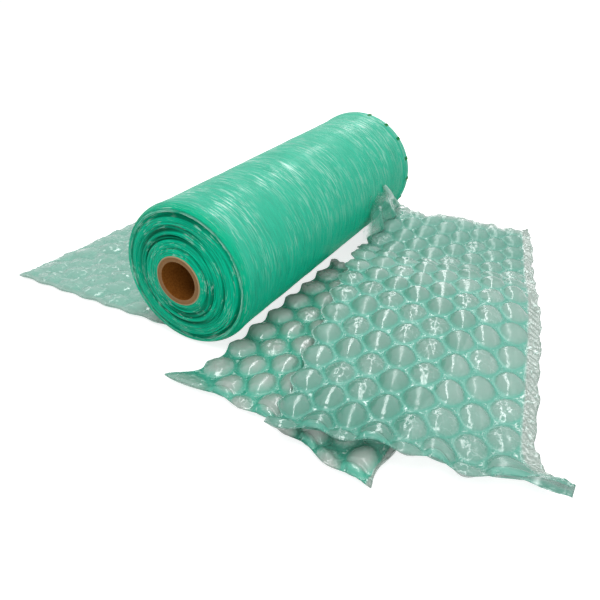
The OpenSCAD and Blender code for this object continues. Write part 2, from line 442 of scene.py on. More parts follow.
print("node helpers:", [f.__name__ for f in (ramp, maths, noise_of, blend, bump_of)])


# %% Film crinkle group
CREASE_BEND = (0.012, 0.012, 0.012)
CREASE_WIDE = 0.11


def crinkle_group():
    """Crumpled film is a net of straight sharp creases. They are the edges of bent cells, and a
    slow noise lets only some of them show. Crease is 1 on a crease, and Height is for a bump."""
    g = bpy.data.node_groups.new("film crinkle", "ShaderNodeTree")
    socket(g, "Vector", "INPUT", "NodeSocketVector")
    socket(g, "Amount", "INPUT", "NodeSocketFloat", 0.0)
    socket(g, "Scale", "INPUT", "NodeSocketFloat", 120.0)
    socket(g, "Crease", "OUTPUT", "NodeSocketFloat")
    socket(g, "Height", "OUTPUT", "NodeSocketFloat")
    n, l = g.nodes, g.links
    inp, out = n.new("NodeGroupInput"), n.new("NodeGroupOutput")
    vector, amount = inp.outputs["Vector"], inp.outputs["Amount"]
    bend = add(n, "ShaderNodeTexNoise")
    l.new(vector, bend.inputs["Vector"])
    bend.inputs["Scale"].default_value = 55
    bend.inputs["Detail"].default_value = 2
    shift = add(n, "ShaderNodeVectorMath", operation="MULTIPLY_ADD")
    l.new(bend.outputs["Color"], shift.inputs[0])
    shift.inputs[1].default_value = CREASE_BEND
    l.new(vector, shift.inputs[2])
    cell = add(n, "ShaderNodeTexVoronoi", feature="DISTANCE_TO_EDGE")
    l.new(shift.outputs[0], cell.inputs["Vector"])
    l.new(inp.outputs["Scale"], cell.inputs["Scale"])
    edge = ramp(n, l, cell.outputs["Distance"], 0.0, CREASE_WIDE, 1.0, 0.0)
    shown = ramp(n, l, noise_of(n, l, vector, 130, 1.0), 0.50, 0.64)
    l.new(times(n, l, times(n, l, edge, shown), amount), out.inputs["Crease"])
    soft = times(n, l, noise_of(n, l, shift.outputs[0], 110, 1.0), 0.5)
    tent = maths(n, l, "POWER", cell.outputs["Distance"], 0.7)
    l.new(times(n, l, maths(n, l, "ADD", tent, soft), amount), out.inputs["Height"])
    return g


CRINKLE = crinkle_group()
print("group:", CRINKLE.name)

# %% [markdown]
# ## Film of the three lengths
#
# Real film is a thin, faintly milky green plastic. Glass with a thickness would bend the light
# far too much, so each skin is a gloss surface that lets part of the light straight through.
# Welded film is greener and less clear. The masks come from the mesh, so that the colour
# follows the bubbles exactly.


# %% Film material
# Pale colour of the creases: a painted highlight, the glint of crinkled film.
PAINTED_CREASE_GLINT = (0.66, 0.86, 0.79, 1)
MARGIN_GREY = (0.27, 0.38, 0.32, 1)
FAR_GREEN = (0.04, 0.31, 0.22, 1)
MASKS = ("weld", "rim", "pinch", "flat", "deepen", "dull")
GLOSSY, MATT = 0.13, 0.55
COAT_MOST = 0.55
CREASE_HIGH = 2 * MM


def film_material(name, crown, rim, weld, clear, crinkle, scale=150.0):
    """A film skin: its colour on a crown, on a rim and on a weld, its opacity on a crown and on
    a rim, and the strength and fineness of its crinkles. The mesh gives six masks: weld and rim,
    pinch for how crumpled the film is, flat for the uninflated margin, deepen where the film is
    a deeper green, and dull where it has less gloss."""
    m, n, l, skin = new_material(name)
    uv = add(n, "ShaderNodeUVMap", uv_map="film").outputs[0]
    mark = {k: mark_of(n, k) for k in MASKS}
    drift = ramp(n, l, noise_of(n, l, uv, 40, 4.0), 0.3, 0.7, -0.25, 0.25)
    sides = maths(n, l, "ADD", mark["rim"], drift, clamp=True)
    wrinkle = n.new("ShaderNodeGroup")
    wrinkle.node_tree = CRINKLE
    l.new(uv, wrinkle.inputs["Vector"])
    l.new(mark["pinch"], wrinkle.inputs["Amount"])
    wrinkle.inputs["Scale"].default_value = scale
    crease, height = wrinkle.outputs["Crease"], wrinkle.outputs["Height"]
    tint = blend(n, l, sides, (*crown, 1), (*rim, 1))
    tint = blend(n, l, mark["weld"], tint, (*weld, 1))
    tint = blend(n, l, mark["deepen"], tint, FAR_GREEN)
    tint = blend(n, l, mark["flat"], tint, MARGIN_GREY)
    # The creases are painted pale: a painted highlight.
    l.new(blend(n, l, crease, tint, PAINTED_CREASE_GLINT), skin.inputs["Base Color"])
    see = ramp(n, l, sides, 0.0, 1.0, *clear)
    see = maths(n, l, "ADD", see, times(n, l, crease, 0.4), clamp=True)
    l.new(see, skin.inputs["Alpha"])
    l.new(bump_of(n, l, height, crinkle, CREASE_HIGH), skin.inputs["Normal"])
    matt = maths(n, l, "MAXIMUM", mark["weld"], times(n, l, mark["flat"], 0.4))
    matt = maths(n, l, "MAXIMUM", matt, mark["dull"])
    matt = maths(n, l, "SUBTRACT", matt, mark["pinch"], clamp=True)
    l.new(ramp(n, l, matt, 0.0, 1.0, GLOSSY, MATT), skin.inputs["Roughness"])
    l.new(ramp(n, l, matt, 0.0, 0.6, COAT_MOST, 0.0), skin.inputs["Coat Weight"])
    skin.inputs["IOR"].default_value = 1.55
    skin.inputs["Specular IOR Level"].default_value = 0.8
    skin.inputs["Coat Roughness"].default_value = 0.08
    return m


INFLATED = film_material("inflated_film", crown=(0.23, 0.44, 0.36), rim=(0.15, 0.43, 0.335),
                         weld=(0.09, 0.44, 0.33), clear=(0.66, 0.8), crinkle=0.65)
LOWER = film_material("inflated_film_low", crown=(0.34, 0.44, 0.38), rim=(0.08, 0.42, 0.30),
                      weld=(0.03, 0.39, 0.265), clear=(0.6, 0.85), crinkle=0.9)
SLACK = film_material("slack_film", crown=(0.20, 0.49, 0.39), rim=(0.16, 0.47, 0.36),
                      weld=(0.12, 0.42, 0.32), clear=(0.72, 0.78), crinkle=0.8, scale=62.0)
# The leader's weld colour is pale: a painted highlight along its cut far edge.
LEADER = film_material("leader_film", crown=(0.02, 0.50, 0.32), rim=(0.10, 0.52, 0.37),
                       weld=(0.62, 0.86, 0.78), clear=(0.0, 0.85), crinkle=0.4)

# %% [markdown]
# ## The inflated lengths
#
# A quilted length is two films welded together, with air in the bubbles between them. Here its
# upper and lower films part by the height of the bubble pattern, and meet in flat welds. Cloth
# simulation could swell the bubbles too, but it would move them away from the measured model.
# First come uneven air, squeezed bubbles at the near edge, folds in the hem, crumpled corners
# and a ragged far edge.


# %% What happens to a length of film
PILLOW_U = 7.5 * MM
MARGIN_STEP = 2 * MM
RAG_REACH = 26 * MM
ROPE_U, ROPE_REACH, ROPE_V = 4 * MM, 13 * MM, 16 * MM


def chance(number, seed):
    """A random share from 0 to 1 for each bubble, by its number."""
    return np.random.default_rng(seed).uniform(0, 1, KINDS)[number]


def bubble_field(u, v, wide, columns, slack):
    """The bubble pattern on film that never lies quite straight. Loose is 1 on bubbles with
    little air, about the share slack of them, and firm is each bubble's own height."""
    bent_u = u + 1.6 * MM * noise(u / 0.04, v / 0.04, 78)
    bent_v = np.clip(v + 1.6 * MM * noise(u / 0.05, v / 0.04, 79), 0, None)
    close, offset, number, three = pattern(bent_u, np.minimum(bent_v, wide), columns)
    loose = ease((slack - chance(number, 9)) / 0.12 + 0.5)
    firm = (0.86 + 0.14 * chance(number, 10)) * (1 - 0.3 * loose)
    return SimpleNamespace(close=close, offset=offset, number=number, three=three,
                           loose=loose, firm=firm)


def edge_pillows(u, v):
    """A row of small pillows along the near edge, where the cut bubbles are squeezed up."""
    across = (v / COLUMN + 0.14 * noise(v / 0.05, 0 * v, 82)) % 1.0 - 0.5
    return fullness(np.hypot((u - PILLOW_U) / PILLOW_U, across / 0.47))


def hem_folds(u, v, wide):
    """Slanting folds in the flat hem: twice the distance of a slanted count from its nearest
    whole number, which is a row of tents."""
    slant = (u + 1.2 * v) / (13 * MM) + 1.1 * noise(u / 0.03, v / 0.03, 71)
    return 3.2 * MM * np.abs(slant - np.round(slant)) * 2 * ease((v - wide) / (3 * MM))


def crumples(u, v):
    """Waves of two sizes, for film that was crushed."""
    return noise(u / 0.023, v / 0.019, 72) + 0.6 * noise(u / 0.009, v / 0.011, 73)


def crushed(u, v, tails):
    """1 at a crushed corner of the near edge, fading over its reach."""
    crush = np.zeros_like(u)
    for tail_v, reach in tails:
        crush = np.maximum(crush, bell(np.hypot(u, v - tail_v), reach))
    return crush


def shifted(u, v, length, wide, hem, rag, far_bend):
    """Places along and across the film after its far edge is ragged and bent and its hem is
    waved."""
    torn = rag * (5 * MM * noise(v / 0.014, 0 * v, 74) + 3.5 * MM * noise(v / 0.004, 0 * v, 75))
    curve = bell(v - 0.58 * wide, 0.2 * wide) - 1.6 * bell(v - 0.22 * wide, 0.13 * wide)
    along = u + torn + far_bend * ease((u / length - 0.8) / 0.2) * curve
    waves = 1.2 * MM * noise(u / 0.013, 0 * u, 76) + 1.8 * MM * noise(u / 0.03, 0 * u, 81)
    waves = waves + 1.6 * MM * np.cos(2 * np.pi * u / PITCH)
    return along, v + ease((v - wide) / hem) * waves


hem_line = np.linspace(0, PITCH, 100)
print(f"hem folds up to {hem_folds(hem_line, 0 * hem_line + 1, 0.9).max() / MM:.1f} mm high")


# %% Height of the film and its masks
def bubble_lift(f, u, v, length, wide, edge_full, flatter):
    """Share of the full height, from 0 on a weld to 1 on a crown, and the puckers' height."""
    ends = np.clip(np.minimum(u, length - u) / (9 * MM), 0, 1)
    lift = fullness(f.close) * (ends * (2 - ends)) ** 0.5 * f.firm * (1 - np.clip(f.margin, 0, 1))
    if edge_full:
        lift = lift * ease((u - 1.7 * PILLOW_U) / (3 * MM))
        lift = np.maximum(lift, edge_full * edge_pillows(u, v) * (v < wide))
    fold = puckers(f.close, f.offset, f.number, f.loose) * (lift > 0.02)
    lift = lift * (1 - 0.6 * f.rag) * (1 - flatter * f.far)
    lift = np.maximum(lift, f.rope * (0.8 + 0.2 * noise(v / (7 * MM), u / (9 * MM), 80)))
    return lift * (1 - 0.93 * f.crush), fold


def film_masks(f, deeper, crumpled, rim_power):
    """The masks of the film materials. With deeper, the near and far rows are a deeper green.
    Crumpled is for slack film, which is creased all over and has faint welds."""
    flat = np.clip(f.margin - 0.75 * f.near_margin * deeper + 0.7 * f.rag, 0, 1)
    flat = flat * (1 - np.clip(1.6 * f.rope, 0, 1))
    weld = np.maximum(ease((f.close - 0.96) / 0.08) * (1 - flat), 0.1 * flat)
    weld = np.maximum(weld, 0.7 * f.crush)
    rim = np.where(flat > 0.5, 0.2, np.clip(f.close, 0, 1) ** rim_power)
    pinch = 0.95 * f.three + 0.06 * weld + 0.32 * f.loose * (1 - weld) + 0.42 * flat
    pinch = np.clip(pinch + 0.7 * f.crush + 0.6 * f.rope, 0, 1)
    deepen = (np.maximum(0.85 * f.far, 0.5 * f.near) * (1 - flat) + 0.6 * f.rope) * deeper
    dull = 0.5 * chance(f.number, 12) ** 2 * (1 - flat)
    dull = np.maximum(dull, 0.5 * f.far * deeper)
    if crumpled:
        pinch = np.clip(0.45 + 0.6 * f.crumple, 0.1, 1)
        weld, rim, flat = 0.6 * weld, 0.3 + 0.5 * rim, 0.3 * flat
    return dict(zip(MASKS, (weld, rim, pinch, flat, deepen, dull)))


print("masks:", MASKS)

# %% [markdown]
# ## Building the three lengths
#
# The upper film swells freely, and the lower one is pressed flat by what it lies on. A grid
# step of 2 mm is just fine enough for the puckers and keeps each length under 200,000
# triangles.


# %% Build the quilted lengths
def quilt(name, place, length, columns, hem, step, rise, sink, slack, most=None, near_hem=0.0,
          tails=(), flatter=0.0, rope_full=0.0, edge_full=0.0, far_bend=0.0, rim_power=3.0):
    """A closed skin with columns of bubbles and a flat hem beside them. Its upper film rises
    and its lower film sinks. Slack is the share of loose bubbles, and most is the room for the
    film. Near_hem is a second hem, and tails are crushed corners, as places and reaches.
    Flatter lowers the far part, rope_full puffs up the near corner, edge_full the near edge,
    far_bend bends the far edge, and rim_power narrows the rims' colour."""
    wide = columns * COLUMN
    rows, cols = (int(round(side / step)) + 1 for side in (length, wide + hem))
    u, v = np.meshgrid(np.linspace(0, length, rows), np.linspace(0, wide + hem, cols), indexing="ij")
    f = bubble_field(u, v, wide, columns, slack)
    f.near_margin = ease((near_hem - v) / MARGIN_STEP) * (near_hem > 0)
    f.margin = ease((v - wide) / MARGIN_STEP) + f.near_margin
    f.near, f.far = ease((0.24 - u / length) / 0.2), ease((u / length - 0.55) / 0.35)
    f.rag = ease((u - length + RAG_REACH) / RAG_REACH)
    f.rope = rope_full * bell(u - ROPE_U, ROPE_REACH) * ease((v - wide + ROPE_V) / ROPE_V)
    f.crush, f.crumple = crushed(u, v, tails), crumples(u, v)
    lift, fold = bubble_lift(f, u, v, length, wide, edge_full, flatter)
    rough = MM * (1.6 * f.crush + 3.0 * f.rope) * np.abs(f.crumple)
    up = SEAM_T / 2 + rise * lift + fold + hem_folds(u, v, wide) + rough
    down = SEAM_T / 2 + sink(u, v) * lift
    if most is not None:
        f.rag = 0.35 * f.rag
        up = up + (f.crumple + 1.2) * 1.1 * MM
        keep = np.minimum(up + down, most(u, v)) / (up + down)
        up, down = up * keep, down * keep
    x, y, z = place(*shifted(u, v, length, wide, hem, f.rag, far_bend))
    z = z + f.rag * 3.5 * MM * noise(v / 0.016, 0 * v, 77)
    masks = film_masks(f, flatter > 0, most is not None, rim_power)
    upper, lower = np.stack([x, y, z + up], axis=-1), np.stack([x, y, z - down], axis=-1)
    return closed_skin(name, upper, lower, np.stack([u, v], axis=-1), masks)


def sink_top(u, v):
    """How far the top sheet's lower film hangs: less where it lies on the lower sheet."""
    x, y, _ = top_place(u, v)
    return BUBBLE_H / 2 - SEAM_T - 1.5 * MM * over_low(x, y)


def room_over_free(u, v):
    """Height under the roll at a point of the free end."""
    return room(free_place(u, v)[0])


top_quilt = quilt("top_quilt", top_place, TOP_LEN, COLUMNS, TOP_HEM, step=2.05 * MM, rise=10 * MM,
                  sink=sink_top, slack=0.36, near_hem=5 * MM, flatter=0.35, rope_full=0.9,
                  edge_full=0.8, far_bend=9 * MM, rim_power=5.0)
low_quilt = quilt("lower_quilt", low_place, LOW_LEN, COLUMNS, LOW_HEM, step=1.8 * MM, rise=9 * MM,
                  sink=lambda u, v: BUBBLE_H / 2 - SEAM_T, slack=0.3, tails=[(0.0, 30 * MM)],
                  edge_full=0.7, rim_power=2.5)
free_film = quilt("free_film", free_place, FREE_LEN, FREE_COLUMNS, FREE_HEM, step=2.0 * MM,
                  rise=4.5 * MM, sink=lambda u, v: 1.5 * MM, slack=0.6, most=room_over_free,
                  near_hem=8 * MM)
for piece, film in ((top_quilt, INFLATED), (low_quilt, LOWER), (free_film, SLACK)):
    piece.data.materials.append(film)

# %% [markdown]
# ## The wound turns
#
# Hundreds of turns lie on each other, bundled into rings, with a collar of loose turns outside
# them. Each turn could be a sheet of its own, but no render would show it. So the roll is one
# lathe surface: its profile walks out over the near end, across the gap inside the collar,
# along the outside, and back in over the far end. The core fills its hole. Random waves bend
# the rings, and fine wrinkles run round the outside.


# %% Waves of the wound turns
AROUND = 200
ANGLE = np.linspace(0, 2 * np.pi, AROUND, endpoint=False) - np.pi / 2
TURN = (ANGLE + np.pi / 2) / (2 * np.pi)
CURL, FAR_CURL = 15 * MM, 8 * MM
LIP_DROP, LIP_IN = 5.6 * MM, 0.3 * MM
GROOVE_DEEP = 4.5 * MM


def slid(r):
    """How far the turn at radius r has slid out of the near end."""
    return SLIP * np.maximum(0, (ROLL_R - r) / (ROLL_R - CORE_R)) ** 1.3


def ring_waves(r, seed):
    """Depth of the grooves between bundles of turns: waves of the radius that change slowly
    with the angle, in three sizes. They are held still next to the core."""
    turn = TURN[None]
    bend = 2.2 * MM * noise(4 * turn + 0 * r[:, None], 0 * r[:, None] + 3, seed, 4)
    rr = (r[:, None] + bend) / MM
    slow = noise(3 * turn + 0 * rr, rr / 9.0, seed + 1, 3)
    fine = noise(4 * turn + 0 * rr, rr / 3.0, seed + 2, 4)
    hair = noise(9 * turn + 0 * rr, rr / 1.3, seed + 3, 9)
    held = ease((r[:, None] - CORE_R - 5 * MM) / (4 * MM))
    return MM * held * np.minimum(0, 2.4 * slow + 2.6 * fine + 1.2 * hair - 1.1)


def side_profile(steps):
    """Radius and place along the axis of the outside, which curls in at both rims."""
    y = NEAR_Y + 0.6 * MM + (FAR_Y - NEAR_Y - 1.2 * MM) * np.linspace(0, 1, steps)
    near_curl = np.maximum(0, 1 - (y - NEAR_Y) / CURL)
    far_curl = np.maximum(0, 1 - (FAR_Y - y) / FAR_CURL)
    return ROLL_R - 5.4 * MM * near_curl**2.2 - 2.2 * MM * far_curl**2, y


def side_waves(y):
    """How far the outside dips: fine and slow wrinkles and a long swell, calm at both rims."""
    fine = noise(9 * TURN[None] + 0 * y, y / (3.4 * MM), 51, 9)
    slow = noise(5 * TURN[None] + 0 * y, y / (17 * MM), 52, 5)
    swell = noise(6 * TURN[None] + 0 * y, y / (90 * MM), 53, 6)
    calm = ease((y - NEAR_Y - CURL) / (10 * MM)) * ease((FAR_Y - CURL - y) / (10 * MM))
    return MM * calm * (0.16 * (1 - fine) + 0.3 * (1 - slow) + 0.8 * (1 + swell))


def facing(degrees, reach):
    """1 at an angle round the roll, fading over a reach in radians."""
    return bell((ANGLE - np.radians(degrees) + np.pi) % (2 * np.pi) - np.pi, reach)


print(f"the innermost turn has slid out by {slid(CORE_R) / MM:.1f} mm")


# %% Build the wound turns
def wound_parts():
    """The profile in seven parts: zone (0 on an end, 0.5 in the gap, 0.7 on the collar's end,
    1 outside), radii, places along the axis, and run, which spreads the noise. Also the waves
    of both ends."""
    last = ROLL_R - COLLAR_T - COLLAR_GAP
    face = np.linspace(CORE_R, last, 150)
    gap_r = np.array([0.1, 0.3, 0.55, 0.8, 1.0]) * COLLAR_GAP + last
    gap_d = np.array([0.5, 0.95, 1.0, 0.95, 0.15])[:, None] * COLLAR_GROOVE
    lip = np.linspace(0, 1, 10)
    lip_r = ROLL_R - COLLAR_T + (COLLAR_T - LIP_DROP) * lip
    out_r, out_y = side_profile(270)
    near_wave, far_wave = ring_waves(face, 11), ring_waves(face, 31)
    ragged = 0.7 * MM * noise(90 * TURN, 0 * TURN + 7, 41, 90)[None]
    shut = (0.25 + 0.75 * ease(0.5 + 0.8 * noise(6 * TURN, 0 * TURN + 9, 43, 6)))[None]
    lip_in = (1 - lip[:, None]) * (0.8 * MM + ragged)
    slip = slid(face)[:, None]
    parts = [
        (0, face, NEAR_Y - slip - near_wave, face),
        (0.5, gap_r, NEAR_Y + gap_d * shut, gap_r),
        (0.7, lip_r, NEAR_Y + LIP_IN + lip_in, lip_r),
        (1, out_r, out_y[:, None], out_y - NEAR_Y + 0.3),
        (0.7, lip_r[::-1], FAR_Y - LIP_IN - lip_in[::-1], 0.2 + lip_r),
        (0.5, gap_r[::-1], FAR_Y - gap_d[::-1], 0.2 + gap_r),
        (0, face[::-3], (FAR_Y - slip + far_wave)[::-3], 0.2 + face[::-3]),
    ]
    return parts, near_wave, far_wave[::-3]


def wound_turns():
    """The lathe surface, with its zones, the depth of its grooves, where its film is frayed,
    and lay: the place on the roll in metres, for noise that runs round it."""
    parts, near_wave, far_wave = wound_parts()
    rows = [len(part[1]) for part in parts]
    wide = np.ones((1, AROUND))
    r, y = (np.concatenate([part[k].reshape(c, -1) * wide for part, c in zip(parts, rows)])
            for k in (1, 2))
    gap, lip, outer = (slice(sum(rows[:k]), sum(rows[: k + 1])) for k in (1, 2, 3))
    r[outer] -= side_waves(y[outer])
    deep, frayed = np.zeros_like(r), np.zeros_like(r)
    deep[: rows[0]] = np.clip(-near_wave / GROOVE_DEEP, 0, 1)
    deep[gap] = 0.25
    deep[-rows[6] :] = np.clip(-far_wave / GROOVE_DEEP, 0, 1)
    tear = bell(np.linspace(-0.1, 1, rows[2] + 1), 0.75)[:, None]
    frayed[lip.start - 1 : lip.stop] = tear * (0.35 + 0.65 * facing(45, 1.3))
    frayed[outer] = 0.8 * ease((y[outer] - FAR_Y + 8 * MM) / (3 * MM)) * facing(62, 0.4)
    zone = np.concatenate([np.full((c, AROUND), part[0], float) for part, c in zip(parts, rows)])
    run = np.concatenate([part[3] for part in parts])[:, None]
    lay = np.stack([part + 0 * r for part in (ROLL_R * np.cos(ANGLE), ROLL_R * np.sin(ANGLE), run)], -1)
    points = np.stack([r * np.cos(ANGLE), y, np.maximum(AXIS_Z + r * np.sin(ANGLE), 0)], axis=-1)
    faces = cells(len(r), AROUND, wrap=True)
    marks = {"zone": zone, "deep": deep, "frayed": frayed}
    piece = mesh_piece("wound_turns", points.reshape(-1, 3), faces, None, marks)
    point_values(piece.data, "lay", lay, "FLOAT_VECTOR", "vector")
    print(f"wound_turns: {2 * len(faces)} triangles")
    return piece


turns = wound_turns()

# %% [markdown]
# ## Finish of the wound film
#
# Hundreds of turns of thin film look solid: deep green, and pale where the wrinkles catch the
# light. Clear turns would take very long to render. So the roll is matt, noise that is
# stretched round it gives the wrinkles, and their crests carry the gloss and a painted
# highlight. The hollows of the wrinkles carry painted shade, the top a painted sheen, and the
# lower side painted light. On the ends the cut edges show as thin rings with pale ragged flecks.

# %% Colours and noise of the wound film
FACE_GREEN, GROOVE_GREEN, RING_GREEN = (0.0, 0.53, 0.30, 1), (0.0, 0.10, 0.05, 1), (0.0, 0.20, 0.11, 1)
# The lower side's green is painted light, lighter than the green above it.
SIDE_DARK, SIDE_LIGHT, LOWER_SIDE_PAINTED_LIGHT = (0.0, 0.46, 0.265, 1), (0.001, 0.52, 0.31, 1), (0.0, 0.64, 0.39, 1)
# Painted light on the outside: shade in the wrinkles' hollows, a sheen on the top, and a highlight on
# the crests.
TROUGH_SHADE, PAINTED_TOP_SHEEN, PAINTED_CREST_HIGHLIGHT = (0.0, 0.33, 0.19, 1), (0.12, 0.49, 0.37, 1), (0.55, 0.85, 0.75, 1)
COLLAR_GREEN, FLECK = (0.0, 0.43, 0.23, 1), (0.42, 0.72, 0.62, 1)
WRINKLE_HIGH = 2.2 * MM


def part_of(n, l, vector, which):
    """One part of a vector: 0, 1 or 2."""
    node = add(n, "ShaderNodeSeparateXYZ")
    l.new(vector, node.inputs[0])
    return node.outputs[which]


def turned_noise(n, l, lay, round_it, along, detail, distortion=0.0):
    """Noise with a fineness round the roll and another one along it or across its rings."""
    node = add(n, "ShaderNodeMapping")
    l.new(lay, node.inputs["Vector"])
    node.inputs["Scale"].default_value = (round_it, round_it, along)
    return noise_of(n, l, node.outputs[0], 1.0, detail, distortion)


def end_colour(n, l, rings, flecks):
    """The ends: dark in the grooves and on the thin rings, with pale flecks of torn film."""
    face = blend(n, l, ramp(n, l, mark_of(n, "deep"), 0.05, 0.6), FACE_GREEN, GROOVE_GREEN)
    face = blend(n, l, ramp(n, l, rings, 0.36, 0.58, 0.6, 0.0), face, RING_GREEN)
    return blend(n, l, flecks, face, FLECK)


def side_colour(n, l, silky, upper, collar, trough_shade, lit_top, crests, flecks):
    """The outside: silky green, painted lighter below as painted light, with a painted sheen on its
    lit top, painted shade in the wrinkles' hollows and painted highlights on the crests. The
    collar is plain, with flecks."""
    side = blend(n, l, silky, SIDE_DARK, SIDE_LIGHT)
    # Painted light: the lower side is painted a lighter green.
    side = blend(n, l, ramp(n, l, upper, 0.0, 0.8, 0.8, 0.0), side, LOWER_SIDE_PAINTED_LIGHT)
    # Dark hollows of the wrinkles: painted shade.
    side = blend(n, l, trough_shade, side, TROUGH_SHADE)
    # A painted sheen on the lit top of the roll.
    side = blend(n, l, times(n, l, lit_top, 0.42), side, PAINTED_TOP_SHEEN)
    # Pale crests: a painted highlight.
    side = blend(n, l, times(n, l, crests, 0.42), side, PAINTED_CREST_HIGHLIGHT)
    side = blend(n, l, collar, side, COLLAR_GREEN)
    return blend(n, l, times(n, l, flecks, collar), side, FLECK)


print("colours of the wound film, pale and dark:", PAINTED_CREST_HIGHLIGHT[:3], GROOVE_GREEN[:3])


# %% Wound film material
def wound_material():
    """Grooves are darker, because light dies between the turns. Cut edges are thin rings with
    pale flecks, and the outside has long fine wrinkles with pale crests, a painted highlight, and
    dark hollows, a painted shade."""
    m, n, l, skin = new_material("wound_film")
    lay = mark_of(n, "lay", "Vector")
    outside = ramp(n, l, mark_of(n, "zone"), 0.75, 1.0)
    rings = turned_noise(n, l, lay, 14, 620, 3.0, 0.3)
    ragged = turned_noise(n, l, lay, 60, 900, 3.0, 0.6)
    patchy = ramp(n, l, turned_noise(n, l, lay, 22, 60, 2.0), 0.46, 0.60)
    flecks = times(n, l, ramp(n, l, ragged, 0.54, 0.66, 0.0, 0.7), patchy)
    torn = times(n, l, mark_of(n, "frayed"), ramp(n, l, ragged, 0.40, 0.58))
    wrinkles = turned_noise(n, l, lay, 25, 360, 3.0, 1.7)
    upper = ramp(n, l, part_of(n, l, lay, 1), -0.03, 0.08)
    collar = ramp(n, l, part_of(n, l, lay, 2), 0.3, 0.315, 1.0, 0.0)
    # The lit top outside the collar, which gets the painted sheen and the crest highlights.
    lit_top = times(n, l, ramp(n, l, upper, 0.0, 1.0, 0.03, 1.0), ramp(n, l, collar, 0.0, 1.0, 1.0, 0.1))
    shine = times(n, l, ramp(n, l, turned_noise(n, l, lay, 9, 16, 2.0), 0.34, 0.54), lit_top)
    crests = times(n, l, ramp(n, l, wrinkles, 0.54, 0.60), shine)
    free = ramp(n, l, collar, 0.0, 1.0, 1.0, 0.2)
    # Where the wrinkles dip: the mask of the painted shade.
    trough_shade = times(n, l, ramp(n, l, wrinkles, 0.34, 0.46, 0.55, 0.0), free)
    silky = ramp(n, l, turned_noise(n, l, lay, 12, 110, 3.0, 1.0), 0.3, 0.7)
    side = side_colour(n, l, silky, upper, collar, trough_shade, lit_top, crests, flecks)
    whole = blend(n, l, outside, end_colour(n, l, rings, flecks), side)
    l.new(blend(n, l, torn, whole, FLECK), skin.inputs["Base Color"])
    ends = maths(n, l, "SUBTRACT", 1.0, outside)
    height = maths(n, l, "ADD", times(n, l, wrinkles, outside), times(n, l, rings, ends))
    l.new(bump_of(n, l, height, 1.0, WRINKLE_HIGH), skin.inputs["Normal"])
    gloss = maths(n, l, "ADD", times(n, l, crests, 0.75), times(n, l, lit_top, 0.06))
    l.new(times(n, l, gloss, outside), skin.inputs["Coat Weight"])
    skin.inputs["Roughness"].default_value = 0.45
    skin.inputs["Specular IOR Level"].default_value = 0.06
    skin.inputs["Coat Roughness"].default_value = 0.22
    return m


turns.data.materials.append(wound_material())

# %% [markdown]
# ## Index marks
#
# Small dark green marks are printed along the film's edge, so they come round the far rim. A
# mask in the film's material would need a very fine mesh for sharp edges. So each mark is a
# thin closed patch on the roll's surface.

# %% Index marks
MARK_ANGLES = [79, 58, 39.5, 17.5, -4, -27, -39]
MARK_LONG, MARK_WIDE, MARK_IN = 10 * MM, 5 * MM, 14 * MM
MARK_HEIGHTS = (-1.2 * MM, 0.5 * MM)
INK_DARK, INK_WORN = (0.0, 0.13, 0.02, 1), (0.0, 0.26, 0.05, 1)


def index_marks(angles, first_y):
    """Thin closed patches on the outside of the roll at the given angles, in degrees."""
    points, faces = [], []
    box = cells(2, 4, wrap=True).tolist() + [[3, 2, 1, 0], [4, 5, 6, 7]]
    half = MARK_WIDE / 2 / ROLL_R
    for k, at in enumerate(angles):
        corners = [(math.radians(at) + da * half, first_y + dy * MARK_LONG)
                   for da, dy in ((-1, 0), (1, 0), (1, 1), (-1, 1))]
        for r in (ROLL_R + high for high in MARK_HEIGHTS):
            points += [(r * math.cos(a), y, AXIS_Z + r * math.sin(a)) for a, y in corners]
        faces += [[8 * k + corner for corner in face] for face in box]
    print(f"index_marks: {len(angles)} marks")
    return mesh_piece("index_marks", points, faces)


def ink_material():
    """Dark green ink, a little worn."""
    m, n, l, skin = new_material("mark_ink")
    at = add(n, "ShaderNodeTexCoord").outputs["Object"]
    paled = noise_of(n, l, at, 900, 2.0)
    l.new(blend(n, l, paled, INK_DARK, INK_WORN), skin.inputs["Base Color"])
    skin.inputs["Specular IOR Level"].default_value = 0.05
    return m


marks = index_marks(MARK_ANGLES, FAR_Y - MARK_IN)
marks.data.materials.append(ink_material())

# %% [markdown]
# ## The core
#
# The core is a tube of card with slightly rounded rims. Its ends are paler towards their outer
# half, and the outer rim palest, which is a painted highlight. The measured solid could stay,
# but it has no rounded rims and no place for that paleness. A lathe surface with a mask has both.

# %% Core
CORNER_R = 0.7 * MM
RIM_BAND = 2.0 * MM
# Paleness of each row: paler ends, and a painted highlight on the outer rim where it is 1.
PALE_ENDS_AND_RIM_HIGHLIGHT = [0, 0, 0, 0.3, 0.35, 0.25, 1, 1, 1, 1, 0.4]


